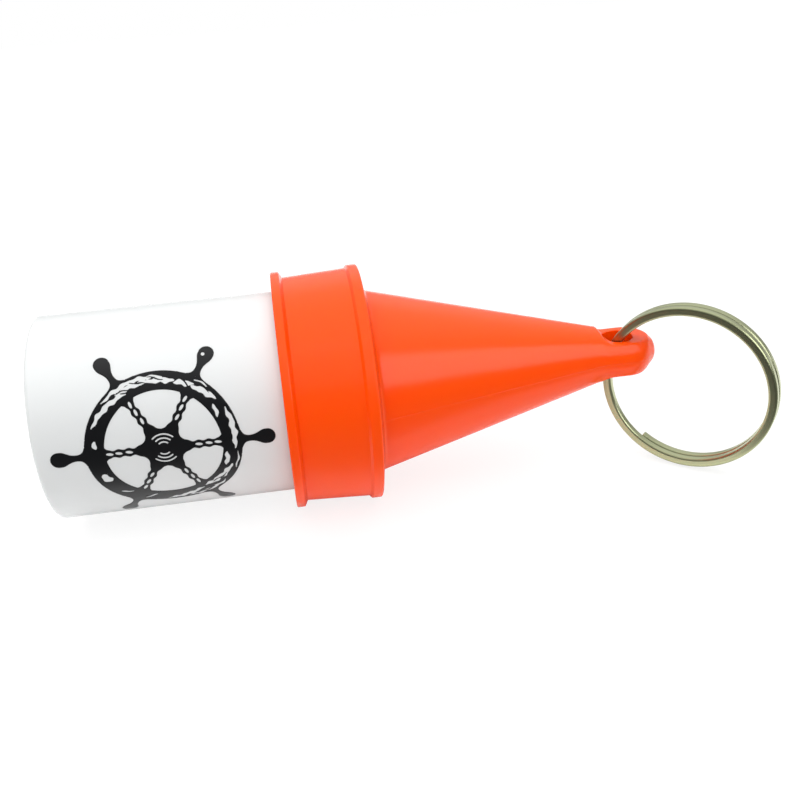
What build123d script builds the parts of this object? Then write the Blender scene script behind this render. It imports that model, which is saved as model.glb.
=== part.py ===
from build123d import *
import os
from math import ceil, cos, radians, sin, sqrt

# Floating key fob: a closed tube, a push-on cone cap with a lug, and a two-turn split ring in the lug.
# Millimetres. It lies on the cap's two flanges: origin in the middle of the closed end's outer face,
# +X along the float towards the ring, +Z up.

# Tube
tube_od = 31.8
tube_wall = 2.1
tube_floor = 2.0
tube_end_round = 0.6
tube_floor_fillet = 1.5
tube_mouth_round = 0.3
tube_shown = 36.05  # length outside the cap

# Push fit of the cap on the tube
slip_gap = 0.06  # radial, inside and outside the tube's wall
seat_gap = 0.1  # tube's mouth to the cap's seat
collar_depth = 12.0  # cap's mouth to its seat

# Collar
band_wall = 1.95
band_draft = 0.5  # how much the band grows over its length
flange_step = 0.95
flange_width = 1.3
flange_slope = 0.5
rear_flange_width = 1.4
rear_flange_slope = 0.4
rear_flange_round = 0.1  # its three outer corners
collar_chamfer = 0.15
collar_round = 0.25

# Cone and nose
cap_wall = 1.6
shoulder_rise = 0.7  # the shoulder's face leans towards the nose
cone_base_radius = 14.65
cone_length = 37.7
cone_base_fillet = 0.8
cone_solid_length = 8.0  # solid end of the cone, behind the nose
cone_hollow_fillet = 1.0
nose_radius = 4.65
nose_length = 9.65
nose_blend = 6.0
nose_chamfer = 3.05  # 45 degrees
nose_chamfer_round = 4.5
nose_tip_round = 2.0

# Skirt inside the tube
skirt_wall = 1.35
skirt_depth = 5.9

# Lug: two flats on the nose, with a hole through them
lug_thickness = 5.8
lug_ramp_radius = 2.2
flat_length = 7.55
lug_edge_round = 0.5
hole_from_tip = 6.2
hole_radius = 2.45
hole_edge_round = 0.2

# Split ring
wire_width = 1.45  # across the ring
wire_thickness = 1.45  # along the ring's axis
wire_round = 0.4
ring_radius = 13.5  # to the wire's middle
ring_turn_gap = 0.06
ring_turns = 1.78
ring_end_round = 0.2
ring_first_end = 237.0  # degrees round the ring, from the far side upwards
ring_swing = 38.9  # degrees from +X towards -Y
ring_sag = 4.08  # ring's middle below the float's axis
ring_offset = 0.35  # strand's place in the hole, nearer the float than the hole's middle

# Worked out from the sizes above
tube_radius = tube_od / 2
tube_bore = tube_radius - tube_wall
mouth_x = tube_shown
seat_x = mouth_x + collar_depth
tube_length = seat_x - seat_gap
band_radius = tube_radius + slip_gap + band_wall
flange_radius = band_radius + flange_step
shoulder_x = seat_x + cap_wall
cone_x = shoulder_x + shoulder_rise
nose_x = cone_x + cone_length
tip_x = nose_x + nose_length
hole_x = tip_x - hole_from_tip


def lathe(corners):
    """Turned solid about X from (x, radius, corner round) points."""
    profile = make_face(Polyline(*[(x, r) for x, r, _ in corners], close=True))
    for x, r, size in corners:
        if size:
            profile = fillet(profile.vertices().sort_by_distance((x, r, 0))[0], size)
    return revolve(profile, Axis.X)


def make_tube():
    return lathe([
        (0, 0, 0),
        (0, tube_radius, tube_end_round),
        (tube_length, tube_radius, tube_mouth_round),
        (tube_length, tube_bore, tube_mouth_round),
        (tube_floor, tube_bore, tube_floor_fillet),
        (tube_floor, 0, 0),
    ])


def make_cap_body():
    """Collar, shoulder, cone and nose with the hollow inside, as one turned shape."""
    cone_slope = (cone_base_radius - nose_radius) / cone_length
    wall_across = cap_wall * sqrt(1 + cone_slope**2)
    skirt_bore = tube_bore - slip_gap - skirt_wall
    hollow_end_x = nose_x - cone_solid_length

    def inner_cone(x):
        return cone_base_radius - cone_slope * (x - cone_x) - wall_across

    bore_end_x = cone_x + (cone_base_radius - wall_across - skirt_bore) / cone_slope
    rear_x = shoulder_x - collar_chamfer - rear_flange_width
    return lathe([
        (mouth_x, tube_radius + slip_gap, collar_round),
        (mouth_x, flange_radius, collar_round),
        (mouth_x + flange_width, flange_radius, collar_round),
        (mouth_x + flange_width + flange_slope, band_radius, 0),
        (rear_x - rear_flange_slope, band_radius + band_draft, 0),
        (rear_x, flange_radius, rear_flange_round),
        (rear_x + rear_flange_width, flange_radius, rear_flange_round),
        (shoulder_x, flange_radius - collar_chamfer, rear_flange_round),
        (cone_x, cone_base_radius, cone_base_fillet),
        (nose_x, nose_radius, nose_blend),
        (tip_x - nose_chamfer, nose_radius, nose_chamfer_round),
        (tip_x, nose_radius - nose_chamfer, nose_tip_round),
        (tip_x, 0, 0),
        (hollow_end_x, 0, 0),
        (hollow_end_x, inner_cone(hollow_end_x), cone_hollow_fillet),
        (bore_end_x, skirt_bore, 0),
        (seat_x - skirt_depth, skirt_bore, 0),
        (seat_x - skirt_depth, tube_bore - slip_gap, collar_round),
        (seat_x, tube_bore - slip_gap, 0),
        (seat_x, tube_radius + slip_gap, 0),
    ])


def make_lug_cut():
    """What is cut away over one flat: a slab with a curved run-in."""
    flat_x = tip_x - flat_length
    length = flat_length + 1
    slab = Pos(flat_x + length / 2, 0, nose_radius) * Box(length, 4 * nose_radius, 2 * nose_radius)
    run_in = Pos(flat_x, 0, lug_ramp_radius) * Rot(90, 0, 0) * Cylinder(lug_ramp_radius, 4 * nose_radius)
    return Pos(0, 0, lug_thickness / 2) * (slab + run_in)


def make_cap():
    cap = make_cap_body()
    top_cut = make_lug_cut()
    cap -= top_cut
    cap -= mirror(top_cut, about=Plane.XY)
    flats = cap.faces().filter_by(Axis.Z)
    cap = fillet(flats.edges(), lug_edge_round)
    cap -= Pos(hole_x, 0, 0) * Cylinder(hole_radius, 2 * lug_thickness)
    bore = cap.faces().filter_by(GeomType.CYLINDER).filter_by(lambda f: abs((f.radius or 0) - hole_radius) < 1e-6)
    rims = bore.edges().filter_by(lambda e: e.geom_type != GeomType.LINE)
    return fillet(rims, hole_edge_round)


def make_ring():
    """Flattened wire wound nearly twice round, hanging in the lug's hole."""
    pitch = wire_thickness + ring_turn_gap
    lengths = ceil(4 * ring_turns)
    turn = ring_turns / lengths
    coil = Helix(pitch=pitch, height=pitch * turn, radius=ring_radius)
    section = Plane(coil @ 0, x_dir=(1, 0, 0), z_dir=coil % 0) * RectangleRounded(
        wire_width, wire_thickness, wire_round
    )
    length = sweep(section, path=coil, is_frenet=True)
    wire = length
    for count in range(1, lengths):
        wire += Pos(0, 0, count * turn * pitch) * Rot(0, 0, 360 * count * turn) * length
    wire = fillet(wire.faces().filter_by(GeomType.PLANE).edges(), ring_end_round)
    coil_middle = Pos(0, 0, -pitch * ring_turns / 2) * Rot(0, 0, ring_first_end)

    half = lug_thickness / 2
    strand_reach = sum(sqrt(ring_radius**2 - (ring_sag + side * half)**2) for side in (-1, 1)) / 2
    reach = strand_reach - ring_offset
    out_x, out_y = cos(radians(ring_swing)), -sin(radians(ring_swing))
    hang = Plane(
        origin=(hole_x + reach * out_x, reach * out_y, -ring_sag),
        x_dir=(out_x, out_y, 0),
        z_dir=(out_y, -out_x, 0),
    )
    return hang * coil_middle * wire


nodes = {"float_tube": make_tube(), "float_cap": make_cap(), "split_ring": make_ring()}

os.makedirs("parts", exist_ok=True)
for name, solid in nodes.items():
    export_step(solid, f"parts/{name}.step")
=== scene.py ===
from math import cos, pi, radians, sin

import bpy
import numpy as np
from mathutils import Matrix, Vector


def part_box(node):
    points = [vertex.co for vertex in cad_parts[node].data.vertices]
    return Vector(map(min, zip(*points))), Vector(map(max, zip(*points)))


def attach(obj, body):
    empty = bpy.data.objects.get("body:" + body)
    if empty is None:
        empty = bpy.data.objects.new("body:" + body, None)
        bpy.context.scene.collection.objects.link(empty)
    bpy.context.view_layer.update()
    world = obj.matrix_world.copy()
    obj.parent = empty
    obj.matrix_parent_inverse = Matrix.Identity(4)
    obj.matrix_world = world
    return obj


# A floating key fob: white tube with a printed ship's wheel, orange cone cap, split ring.
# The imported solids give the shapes; this script adds the print, the finishes, the light and the camera.

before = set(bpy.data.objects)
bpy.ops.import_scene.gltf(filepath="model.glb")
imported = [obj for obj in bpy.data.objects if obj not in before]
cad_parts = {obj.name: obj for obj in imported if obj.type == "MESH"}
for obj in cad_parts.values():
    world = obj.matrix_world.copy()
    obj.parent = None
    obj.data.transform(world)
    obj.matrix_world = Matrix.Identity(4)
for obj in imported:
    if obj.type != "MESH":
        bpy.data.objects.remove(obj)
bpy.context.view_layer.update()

MM = 0.001
tube_low, tube_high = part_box("float_tube")
cap_low, cap_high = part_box("float_cap")
TUBE_RADIUS = (tube_high[2] - tube_low[2]) / 2
FLOOR_Z = cap_low[2]
TIP_X = cap_high[0]
CONE_X = 50.35 * MM  # where the collar ends and the cone begins
RING_MIDDLE = (0.10096, -0.00763, -0.00408)
RING_AXIS = (-0.628, -0.778, 0.0)


# ---------------------------------------------------------------- camera

CAMERA_PLACE = (37.94, -141.38, 67.21)  # mm
CAMERA_TURN, CAMERA_TILT, CAMERA_ROLL = -6.77, -26.63, -3.68  # degrees
SENSOR_WIDTH = 36.0
LENS = 43.52


def place_camera():
    """Camera from its place, where it looks (turn, tilt, roll) and its lens."""
    data = bpy.data.cameras.new("camera")
    data.sensor_width = SENSOR_WIDTH
    data.lens = LENS
    data.clip_start = 10 * MM
    camera = bpy.data.objects.new("camera", data)
    bpy.context.scene.collection.objects.link(camera)
    looks = (
        Matrix.Rotation(radians(CAMERA_TURN), 4, "Z")
        @ Matrix.Rotation(pi / 2 + radians(CAMERA_TILT), 4, "X")
        @ Matrix.Rotation(radians(CAMERA_ROLL), 4, "Z")
    )
    camera.matrix_world = Matrix.Translation(Vector(CAMERA_PLACE) * MM) @ looks
    bpy.context.scene.camera = camera


place_camera()


# ---------------------------------------------------------------- materials

def colour(text, alpha=1.0):
    """Linear colour from an sRGB hex value."""
    parts = np.array([int(text[i:i + 2], 16) for i in (1, 3, 5)]) / 255
    linear = np.where(parts <= 0.04045, parts / 12.92, ((parts + 0.055) / 1.055) ** 2.4)
    return (*linear.tolist(), alpha)


def add(tree, kind, inputs=None, **settings):
    """One node with its settings; an input is a value or a socket to link."""
    node = tree.nodes.new(kind)
    for name, value in settings.items():
        setattr(node, name, value)
    for name, value in (inputs or {}).items():
        if isinstance(value, bpy.types.NodeSocket):
            tree.links.new(value, node.inputs[name])
        else:
            node.inputs[name].default_value = value
    return node


def new_material(name):
    material = bpy.data.materials.new(name)
    material.use_nodes = True
    material.node_tree.nodes.clear()
    return material, material.node_tree


def finish_material(tree, shader):
    add(tree, "ShaderNodeOutputMaterial", {"Surface": shader.outputs[0]})


def moulded_skin(tree, ripple, depth):
    """Normal of a moulded skin: slow sink and flow ripples, too shallow to see except in what they mirror."""
    place = add(tree, "ShaderNodeTexCoord")
    ripple = add(
        tree, "ShaderNodeTexNoise",
        {"Vector": place.outputs["Object"], "Scale": 1 / ripple, "Detail": 2.0, "Roughness": 0.4},
    )
    return add(
        tree, "ShaderNodeBump",
        {"Height": ripple.outputs[0], "Strength": 1.0, "Distance": depth},
    )


def parting_line(tree, skin, width, rise):
    """Skin with the raised line where the mould's halves meet, at z = 0 along the cone and the nose."""
    place = add(tree, "ShaderNodeTexCoord")
    along = add(tree, "ShaderNodeSeparateXYZ", {0: place.outputs["Object"]})
    off = add(tree, "ShaderNodeMath", {0: along.outputs["Z"]}, operation="ABSOLUTE")
    ridge = add(tree, "ShaderNodeMapRange",
                {"Value": off.outputs[0], "From Max": width / 2, "To Min": 1.0, "To Max": 0.0},
                interpolation_type="SMOOTHSTEP")
    behind = add(tree, "ShaderNodeMath", {0: along.outputs["X"], 1: CONE_X}, operation="GREATER_THAN")
    height = add(tree, "ShaderNodeMath", {0: ridge.outputs[0], 1: behind.outputs[0]}, operation="MULTIPLY")
    return add(
        tree, "ShaderNodeBump",
        {"Height": height.outputs[0], "Strength": 1.0, "Distance": rise, "Normal": skin.outputs[0]},
    )


def white_polypropylene():
    """Injection-moulded white polypropylene: milky, soft-glossy, with a little light passing through."""
    material, tree = new_material("white_polypropylene_moulded")
    skin = moulded_skin(tree, ripple=9.0 * MM, depth=0.02 * MM)
    shader = add(
        tree, "ShaderNodeBsdfPrincipled",
        {
            "Base Color": colour("#DCDEDE"),
            "Roughness": 0.24,
            "IOR": 1.49,
            "Specular IOR Level": 0.35,
            "Subsurface Weight": 0.25,
            "Subsurface Radius": (1.0, 0.95, 0.9),
            "Subsurface Scale": 1.5 * MM,
            "Normal": skin.outputs[0],
        },
    )
    finish_material(tree, shader)
    return material


def orange_polypropylene():
    """Injection-moulded signal-orange polypropylene: saturated and soft-glossy, with a fine raised line where
    the mould parts."""
    material, tree = new_material("orange_polypropylene_moulded")
    skin = moulded_skin(tree, ripple=7.0 * MM, depth=0.05 * MM)
    skin = parting_line(tree, skin, width=0.3 * MM, rise=0.03 * MM)
    shader = add(
        tree, "ShaderNodeBsdfPrincipled",
        {
            "Base Color": colour("#FF4D00"),
            "Roughness": 0.2,
            "IOR": 1.49,
            "Specular IOR Level": 0.3,
            "Subsurface Weight": 0.3,
            "Subsurface Radius": (1.0, 0.35, 0.1),
            "Subsurface Scale": 1.2 * MM,
            "Normal": skin.outputs[0],
        },
    )
    finish_material(tree, shader)
    return material


DRAWING_LINE = 0.5 * MM  # real ones are some ten times finer and wouldn't show


def nickel_plate():
    """Drawn spring wire, nickel plated: a soft, warm grey mirror with drawing lines along the wire. The lines
    follow the distance from the ring's middle and the height along its axis."""
    material, tree = new_material("nickel_plated_spring_wire")
    place = add(tree, "ShaderNodeTexCoord")
    arm = add(tree, "ShaderNodeVectorMath", {0: place.outputs["Object"], 1: RING_MIDDLE},
              operation="SUBTRACT")
    over = add(tree, "ShaderNodeVectorMath", {0: arm.outputs[0], 1: RING_AXIS}, operation="DOT_PRODUCT")
    length = add(tree, "ShaderNodeVectorMath", {0: arm.outputs[0]}, operation="LENGTH")
    across = add(tree, "ShaderNodeCombineXYZ", {"X": length.outputs["Value"], "Y": over.outputs["Value"]})
    lines = add(tree, "ShaderNodeTexNoise",
                {"Vector": across.outputs[0], "Scale": 1 / DRAWING_LINE, "Detail": 1.0, "Roughness": 0.5})
    tone = add(tree, "ShaderNodeMix", {"Factor": lines.outputs[0]}, data_type="RGBA")
    tone.inputs["A"].default_value = colour("#9EA084")
    tone.inputs["B"].default_value = colour("#C2C99C")
    skin = add(tree, "ShaderNodeBump", {"Height": lines.outputs[0], "Strength": 1.0, "Distance": 0.006 * MM})
    shader = add(
        tree, "ShaderNodeBsdfPrincipled",
        {
            "Base Color": tone.outputs["Result"],
            "Metallic": 1.0,
            "Roughness": 0.3,
            "Normal": skin.outputs[0],
        },
    )
    finish_material(tree, shader)
    return material


def pad_ink():
    """Black pad-printing ink: a thin, even film with a soft gloss."""
    material, tree = new_material("black_pad_printing_ink")
    shader = add(
        tree, "ShaderNodeBsdfPrincipled",
        {"Base Color": colour("#0C0D10"), "Roughness": 0.28, "IOR": 1.5},
    )
    finish_material(tree, shader)
    return material


# ---------------------------------------------------------------- printed wheel

WHEEL_X = 18.3  # mm, hub's place along the tube
WHEEL_UP = 0.6  # mm round the tube, above its side
WHEEL_TALL = 1.03  # the pad stretches the print this much round the tube
HUB_OUT = 2.8  # mm from the hub's middle, as the next ones
RIM_IN = 8.35
RIM_OUT = 11.1
HANDLE_TIP = 16.0
SPOKES = 6
LENSES = (4.95, 6.4, 7.7)  # middles of a spoke's lights
HUB_ARCS = (0.95, 1.53, 2.12)  # arcs cut from the hub
BULB = 1.15  # radius of a handle's end
EYELET = (14.6, radians(61.5), 0.26)  # small hole in one handle: from the hub, turn, radius


def ink_depth(x, up):
    """Ink's signed depth in mm, above 0 where ink lies: the most of rim, hub, spokes and handles, less the
    lights cut from them. x runs along the tube and up round it, from the hub."""
    up = up / WHEEL_TALL
    rho = np.hypot(x, up)
    turn = np.arctan2(up, x)
    step = 2 * pi / SPOKES
    near = (turn + step / 2) % step - step / 2  # angle from the nearest spoke
    out, side = rho * np.cos(near), rho * np.sin(near)

    rim = (RIM_OUT - RIM_IN) / 2 - np.abs(rho - (RIM_OUT + RIM_IN) / 2)
    hub = HUB_OUT - rho

    # A spoke flares from the hub and into the rim, and swells like a twist of rope round each of its lights.
    rope = 0.58 + 0.1 * np.cos(2 * pi * (out - LENSES[0]) / (LENSES[1] - LENSES[0]))
    flare = 1.1 * np.exp(-((out - 2.1) / 1.0) ** 2) + 0.5 * np.exp(-((out - RIM_IN) / 0.3) ** 2)
    spoke = np.minimum(rope + flare - np.abs(side), np.minimum(out - 1.0, RIM_IN + 0.5 - out))

    # A handle: wide root on the rim, thin neck, round bulb.
    neck = 0.42 + 2.3 * np.exp(-np.maximum(out - RIM_OUT + 0.3, 0) / 0.35)
    swell = 0.72 * np.exp(-((out - 14.55) / 1.2) ** 2)
    shank = np.minimum(neck + swell - np.abs(side), np.minimum(out - RIM_OUT + 1, 14.7 - out))
    bulb = BULB - np.hypot(out - (HANDLE_TIP - BULB), side)
    handle = np.maximum(shank, bulb)

    ink = np.maximum.reduce([rim, hub, spoke, handle])

    # Lights cut from the ink.
    lights = [hub_lights(x, up, rho), spoke_lights(out, side), rim_lights(rho, turn)]
    far, at, radius = EYELET
    lights.append(radius - np.hypot(x - far * cos(at), up - far * sin(at)))
    return np.minimum(ink, -np.maximum.reduce(lights))


def hub_lights(x, up, rho):
    """Arcs over and under the hub's middle: rings of HUB_ARCS, kept where up is more than x."""
    arcs = np.maximum.reduce([0.11 - np.abs(rho - r) for r in HUB_ARCS])
    return np.minimum(arcs, np.abs(up) * 0.75 - np.abs(x) * 0.75)


def spoke_lights(out, side):
    """Slim lenses along each spoke, between the rope's strands: slanted ovals round LENSES."""
    return np.maximum.reduce([0.21 - np.hypot((out - middle) * 0.42, side + 0.14 * (out - middle))
                              for middle in LENSES])


# Wood-grain streaks on the rim, lights first and then the dark slivers in them: start and end angle in
# degrees, start and end radius and half width in mm.
RIM_LIGHTS = (
    (117, 158, 9.35, 10.4, 0.36),
    (84, 138, 10.25, 10.65, 0.3),
    (92, 126, 9.7, 10.0, 0.34),
    (74, 98, 9.7, 9.75, 0.42),
    (58, 75, 10.0, 9.5, 0.4),
    (37, 60, 10.2, 9.7, 0.44),
    (48, 60, 10.8, 10.75, 0.12),
    (24, 36, 8.9, 9.5, 0.28),
    (-8, 28, 10.05, 10.5, 0.4),
    (-27, -10, 10.75, 10.55, 0.12),
    (-26, -11, 9.25, 8.95, 0.34),
    (-60, -23, 9.2, 10.0, 0.42),
    (-97, -62, 10.7, 9.5, 0.34),
    (-80, -42, 10.65, 10.6, 0.24),
    (167, 174, 9.75, 9.6, 0.34),
    (199, 209, 9.85, 9.5, 0.62),
    (223, 232, 10.3, 9.2, 0.16),
    (245, 254, 10.4, 9.3, 0.18),
)
RIM_SLIVERS = (
    (98, 112, 9.5, 10.4, 0.1),
    (83, 97, 9.7, 10.4, 0.1),
    (113, 127, 9.6, 10.3, 0.1),
    (60, 69, 9.4, 10.1, 0.12),
    (44, 56, 10.3, 10.4, 0.1),
    (-52, -34, 9.3, 10.0, 0.11),
    (-72, -54, 10.5, 10.5, 0.09),
)


def streaks(rho, turn, rows):
    """Thin leaves that run round the rim and waver."""
    leaves = []
    for start, end, inner, outer, half in rows:
        middle, reach = radians(start + end) / 2, radians(end - start) / 2
        along = ((turn - middle + pi) % (2 * pi) - pi) / reach  # -1 to 1
        line = inner + (outer - inner) * (along + 1) / 2 + 0.09 * np.sin(31 * turn + start)
        width = half * np.clip(1 - along**2, 0, 1) ** 0.6 * (1 + 0.2 * np.sin(47 * turn + end))
        leaves.append(np.where(np.abs(along) < 1, width - np.abs(rho - line), -1.0))
    return np.maximum.reduce(leaves)


def rim_lights(rho, turn):
    """Streaks of light on the rim, less the slivers."""
    return np.minimum(streaks(rho, turn, RIM_LIGHTS), -streaks(rho, turn, RIM_SLIVERS))


def ink_grid(cell):
    """Flat print in mm as (x, up, groups of faces): square cells whose corners near the outline move onto it,
    along the depth's slope; a cell with three corners in ink gives a triangle."""
    count = int(2 * (HANDLE_TIP * WHEEL_TALL + 1) / cell)
    line = (np.arange(count) - (count - 1) / 2) * cell
    x, up = (a.ravel() for a in np.meshgrid(line, line, indexing="ij"))

    def slope(x, up):
        nudge = 0.01
        across = (ink_depth(x + nudge, up) - ink_depth(x - nudge, up)) / (2 * nudge)
        over = (ink_depth(x, up + nudge) - ink_depth(x, up - nudge)) / (2 * nudge)
        return across, over

    depth = ink_depth(x, up)
    across, over = slope(x, up)
    distance = depth / np.maximum(np.hypot(across, over), 0.3)
    edge = np.abs(distance) < 0.5 * cell
    inside = distance > -0.5 * cell
    for _ in range(2):
        across, over = slope(x, up)
        steep = np.maximum(across**2 + over**2, 0.09)
        pull = np.where(edge, np.clip(ink_depth(x, up) / steep, -cell, cell), 0)
        x, up = x - pull * across, up - pull * over

    index = np.arange(count * count).reshape(count, count)
    corners = np.stack([index[:-1, :-1], index[1:, :-1], index[1:, 1:], index[:-1, 1:]], -1).reshape(-1, 4)
    inked = inside[corners]
    faces = []
    squares = corners[inked.all(1)]
    faces.append(squares[ink_depth(x[squares].mean(1), up[squares].mean(1)) > 0])
    triangles = []
    for gap in range(4):
        others = [k for k in range(4) if k != gap]
        rows = corners[(inked.sum(1) == 3) & ~inked[:, gap]][:, others]
        triangles.append(rows[ink_depth(x[rows].mean(1), up[rows].mean(1)) > 0])
    faces.append(np.concatenate(triangles))

    used = np.unique(np.concatenate([f.ravel() for f in faces]))
    renumber = np.full(count * count, -1)
    renumber[used] = np.arange(len(used))
    return x[used], up[used], [renumber[f] for f in faces]


def mesh_object(name, points, faces):
    mesh = bpy.data.meshes.new(name)
    mesh.from_pydata(points.tolist(), [], [face for group in faces for face in group.tolist()])
    mesh.polygons.foreach_set("use_smooth", np.ones(len(mesh.polygons), dtype=bool))
    mesh.update()
    piece = bpy.data.objects.new(name, mesh)
    bpy.context.scene.collection.objects.link(piece)
    return piece


GRID_CELL = 0.11  # mm
INK_FILM = 0.02 * MM


def print_wheel():
    """The flat print wrapped on the tube: x stays, and the height becomes an angle about the tube's axis."""
    x, up, faces = ink_grid(GRID_CELL)
    angle = (up + WHEEL_UP) * MM / TUBE_RADIUS
    points = np.stack([
        (x + WHEEL_X) * MM,
        -TUBE_RADIUS * np.cos(angle),
        TUBE_RADIUS * np.sin(angle),
    ], 1)
    wheel = mesh_object("printed_wheel", points, faces)
    thickness = wheel.modifiers.new("film", "SOLIDIFY")
    thickness.thickness = INK_FILM
    thickness.offset = 1.0
    wheel.data.materials.append(pad_ink())
    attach(wheel, "tube")


print_wheel()


# ---------------------------------------------------------------- finishes on the solids

for node, make in (
    ("float_tube", white_polypropylene),
    ("float_cap", orange_polypropylene),
    ("split_ring", nickel_plate),
):
    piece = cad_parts[node]
    piece.data.materials.clear()
    piece.data.materials.append(make())


# ---------------------------------------------------------------- floor, world and lamps

FLOOR_HALF = 0.8  # middle to edge
# Reach of the painted shade on the paper: it stays light this far towards the camera, then darkens.
LIT_REACH = 50 * MM  # how far the paper stays light towards the camera, as it lights the object
MIRRORED_REACH = 6 * MM  # and in mirrors
# Painted shade on the table: the paper's colour goes from the first value near the object to the dark second
# one towards the camera; the dark one is painted shade, not the paper's colour.
PAPER_LIT, PAPER_PAINTED_SHADE = "#FAFAFA", "#505050"
TABLE_SHADE, TABLE_GLOW = "#808080", 0.83  # to the camera


def lay_floor():
    """White table: it takes the object's soft shadow, and its own glow brings it to white for the camera. The
    object sees paper whose colour holds painted shade: it darkens towards the camera, as a small lit table
    in a dim room is shaded."""
    flat = FLOOR_HALF * np.array([[-1.0, -1, 0], [1, -1, 0], [1, 1, 0], [-1, 1, 0]])
    flat[:, 2] = FLOOR_Z
    floor = mesh_object("floor", flat, [np.array([[0, 1, 2, 3]])])
    material, tree = new_material("white_table")
    rays = add(tree, "ShaderNodeLightPath")
    place = add(tree, "ShaderNodeTexCoord")
    across = add(tree, "ShaderNodeSeparateXYZ", {0: place.outputs["Object"]})
    reach = add(tree, "ShaderNodeMath",
                {0: rays.outputs["Is Diffuse Ray"], 1: LIT_REACH - MIRRORED_REACH, 2: MIRRORED_REACH},
                operation="MULTIPLY_ADD")
    painted_falloff = add(tree, "ShaderNodeMath", {0: across.outputs["Y"], 1: -FLOOR_Z}, operation="ADD")
    painted_falloff = add(tree, "ShaderNodeMath", {0: painted_falloff.outputs[0], 1: reach.outputs[0]}, operation="DIVIDE")
    painted_falloff = add(tree, "ShaderNodeMath", {0: painted_falloff.outputs[0]}, operation="EXPONENT")
    painted_falloff = add(tree, "ShaderNodeMath", {0: painted_falloff.outputs[0], 1: 1.0}, operation="MINIMUM")
    # Painted shade: the paper's colour darkens towards the camera in the light it gives the object and in
    # mirrors.
    painted_shade_tint = add(tree, "ShaderNodeMix", {"Factor": painted_falloff.outputs[0]}, data_type="RGBA")
    painted_shade_tint.inputs["A"].default_value = colour(PAPER_PAINTED_SHADE)
    painted_shade_tint.inputs["B"].default_value = colour(PAPER_LIT)
    paper = add(tree, "ShaderNodeBsdfDiffuse", {"Color": painted_shade_tint.outputs["Result"]})
    shaded = add(tree, "ShaderNodeBsdfDiffuse", {"Color": colour(TABLE_SHADE)})
    glow = add(tree, "ShaderNodeEmission", {"Color": (1, 1, 1, 1), "Strength": TABLE_GLOW})
    white = add(tree, "ShaderNodeAddShader", {0: shaded.outputs[0], 1: glow.outputs[0]})
    shown = add(tree, "ShaderNodeMixShader",
                {0: rays.outputs["Is Camera Ray"], 1: paper.outputs[0], 2: white.outputs[0]})
    finish_material(tree, shown)
    floor.data.materials.append(material)


ROOM_LIGHT = 0.58  # as light on the object
ROOM_DARK = 0.1  # in mirrors, away from the room's bright side
ROOM_BRIGHT = 1.0  # added in mirrors towards the bright side
BRIGHT_SIDE = (0.1, 0.42, 0.9)
BRIGHT_FROM, BRIGHT_TO = -0.3, 0.85  # cosines to the bright side where it begins and is full
BRIGHT_POWER = 2.5


def light_world():
    """Room light: plain white to the camera, dimmer as light on the object. Mirrors see a dark room that
    brightens softly towards one side, up and behind the object."""
    world = bpy.data.worlds.new("room")
    bpy.context.scene.world = world
    world.use_nodes = True
    tree = world.node_tree
    tree.nodes.clear()
    rays = add(tree, "ShaderNodeLightPath")
    place = add(tree, "ShaderNodeTexCoord")
    way = add(tree, "ShaderNodeVectorMath", {0: place.outputs["Object"]}, operation="NORMALIZE")
    toward = add(tree, "ShaderNodeVectorMath", {0: way.outputs[0], 1: BRIGHT_SIDE}, operation="DOT_PRODUCT")
    rise = add(tree, "ShaderNodeMapRange",
               {"Value": toward.outputs["Value"], "From Min": BRIGHT_FROM, "From Max": BRIGHT_TO})
    rise = add(tree, "ShaderNodeMath", {0: rise.outputs[0], 1: BRIGHT_POWER}, operation="POWER")
    mirrored = add(tree, "ShaderNodeMath", {0: rise.outputs[0], 1: ROOM_BRIGHT, 2: ROOM_DARK},
                   operation="MULTIPLY_ADD")
    dim = add(tree, "ShaderNodeMix", {"Factor": rays.outputs["Is Glossy Ray"], "A": ROOM_LIGHT,
                                      "B": mirrored.outputs[0]})
    strength = add(tree, "ShaderNodeMath", {0: dim.outputs[0], 1: rays.outputs["Is Camera Ray"]},
                   operation="MAXIMUM")
    background = add(tree, "ShaderNodeBackground",
                     {"Color": (1, 1, 1, 1), "Strength": strength.outputs[0]})
    add(tree, "ShaderNodeOutputWorld", {"Surface": background.outputs[0]})


def hang_lamp(name, place, aim, width, height, radiance):
    """Soft box: a plain glowing rectangle at place, turned to aim, of even radiance (1 is white)."""
    data = bpy.data.lights.new(name, "AREA")
    data.shape = "RECTANGLE"
    data.size, data.size_y = width, height
    data.energy = radiance * pi * width * height
    lamp = bpy.data.objects.new(name, data)
    bpy.context.scene.collection.objects.link(lamp)
    direction = Vector(aim) - Vector(place)
    lamp.matrix_world = Matrix.Translation(place) @ direction.to_track_quat("-Z", "Y").to_matrix().to_4x4()
    return lamp


lay_floor()
light_world()
middle = (TIP_X / 2, 0, 0)
overhead_box = hang_lamp("overhead_box", (0.05, 0.02, 1.05), middle, width=1.5, height=1.5, radiance=1.6)
overhead_box.visible_glossy = False
side_box = hang_lamp("side_box", (0.52, -0.536, 0.388), middle, width=0.75, height=0.49, radiance=2.7)
side_box.visible_diffuse = False
front_box = hang_lamp("front_box", (-0.06, -0.7, 0.71), middle, width=0.8, height=0.8, radiance=1.98)
front_box.visible_glossy = False

bpy.context.scene.view_settings.view_transform = "Standard"
